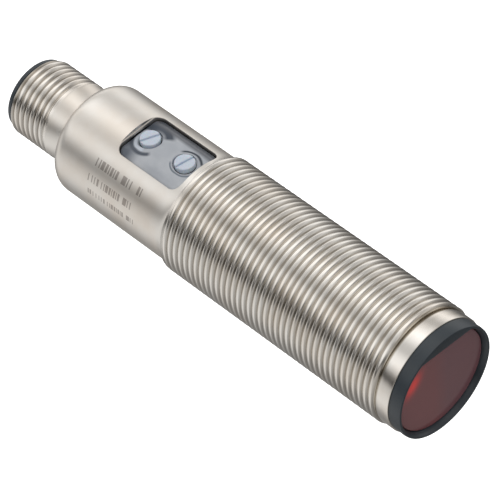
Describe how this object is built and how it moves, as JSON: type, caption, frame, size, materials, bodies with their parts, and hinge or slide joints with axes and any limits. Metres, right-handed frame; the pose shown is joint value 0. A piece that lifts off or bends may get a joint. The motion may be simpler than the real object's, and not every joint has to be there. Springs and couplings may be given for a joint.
{
  "type": "photoelectric sensor",
  "caption": "Cylindrical retroreflective photoelectric sensor: M18 threaded metal barrel, red D-shaped lens window, M12 plug connector and two slotted adjusters under a side window.",
  "frame": {"origin": "on the optical axis at the middle of the M18 thread", "axes": "+X along the optical axis towards the lens end, +Z out through the middle of the adjuster window"},
  "size_m": [0.0779, 0.0178, 0.0178],
  "materials": {
    "nickel_brass": "nickel plated, fine turned, satin",
    "black_plastic": "satin moulded",
    "red_filter": "polished dark red filter",
    "seal_rubber": "smooth black nitrile",
    "carrier_plastic": "matt black",
    "lens_clear": "polished clear lens",
    "polariser_foil": "smoked foil",
    "circuit_board": "green solder mask",
    "emitter_red": "clear red epoxy",
    "diode_package": "dark epoxy",
    "header_plastic": "matt black",
    "contact_metal": "gold plated",
    "chip_epoxy": "matt moulded epoxy",
    "capacitor_ceramic": "fired ceramic",
    "resistor_ceramic": "glazed film",
    "indicator_green": "diffuse green",
    "indicator_yellow": "diffuse yellow",
    "insert_plastic": "translucent blue grey",
    "adjuster_plastic": "satin pale blue",
    "rotor_plastic": "white",
    "trimmer_plastic": "blue",
    "potting_resin": "cast resin",
    "lead_insulation": "smooth insulation"
  },
  "bodies": {
    "root": {"housing": "nickel_brass", "front_ring": "black_plastic", "front_window": "red_filter", "front_o_ring": "seal_rubber", "optics_carrier": "carrier_plastic", "light_barrier": "carrier_plastic", "emitter_lens": "lens_clear", "receiver_lens": "lens_clear", "emitter_polariser": "polariser_foil", "receiver_polariser": "polariser_foil", "optics_board": "circuit_board", "emitter_led": "emitter_red", "receiver_diode": "diode_package", "main_board": "circuit_board", "header_block": "header_plastic", "header_pins": "contact_metal", "controller_chip": "chip_epoxy", "regulator_chip": "chip_epoxy", "output_transistors": "chip_epoxy", "capacitors": "capacitor_ceramic", "resistors": "resistor_ceramic", "board_saddle_rear": "carrier_plastic", "board_saddle_front": "carrier_plastic", "green_indicator": "indicator_green", "yellow_indicator": "indicator_yellow", "adjuster_insert": "insert_plastic", "insert_gasket": "seal_rubber", "sensitivity_trimmer": "trimmer_plastic", "mode_trimmer": "trimmer_plastic", "connector_insert": "black_plastic", "connector_o_ring": "seal_rubber", "rear_potting": "potting_resin", "contact_pin_1": "contact_metal", "contact_pin_2": "contact_metal", "contact_pin_3": "contact_metal", "contact_pin_4": "contact_metal", "lead_1": "lead_insulation", "lead_2": "lead_insulation", "lead_3": "lead_insulation", "lead_4": "lead_insulation"},
    "sensitivity_adjuster": {"sensitivity_spindle": "adjuster_plastic", "sensitivity_o_ring": "seal_rubber", "sensitivity_rotor": "rotor_plastic"},
    "mode_adjuster": {"mode_spindle": "adjuster_plastic", "mode_o_ring": "seal_rubber", "mode_rotor": "rotor_plastic"}
  },
  "joints": [
    {"name": "sensitivity_turn", "type": "hinge", "parent": "root", "child": "sensitivity_adjuster", "pos_m": [-0.0294, 0, 0.007], "axis": [0, 0, 1], "range_deg": [-135, 135]},
    {"name": "mode_turn", "type": "hinge", "parent": "root", "child": "mode_adjuster", "pos_m": [-0.0227, 0, 0.007], "axis": [0, 0, 1], "range_deg": [-135, 135]}
  ]
}
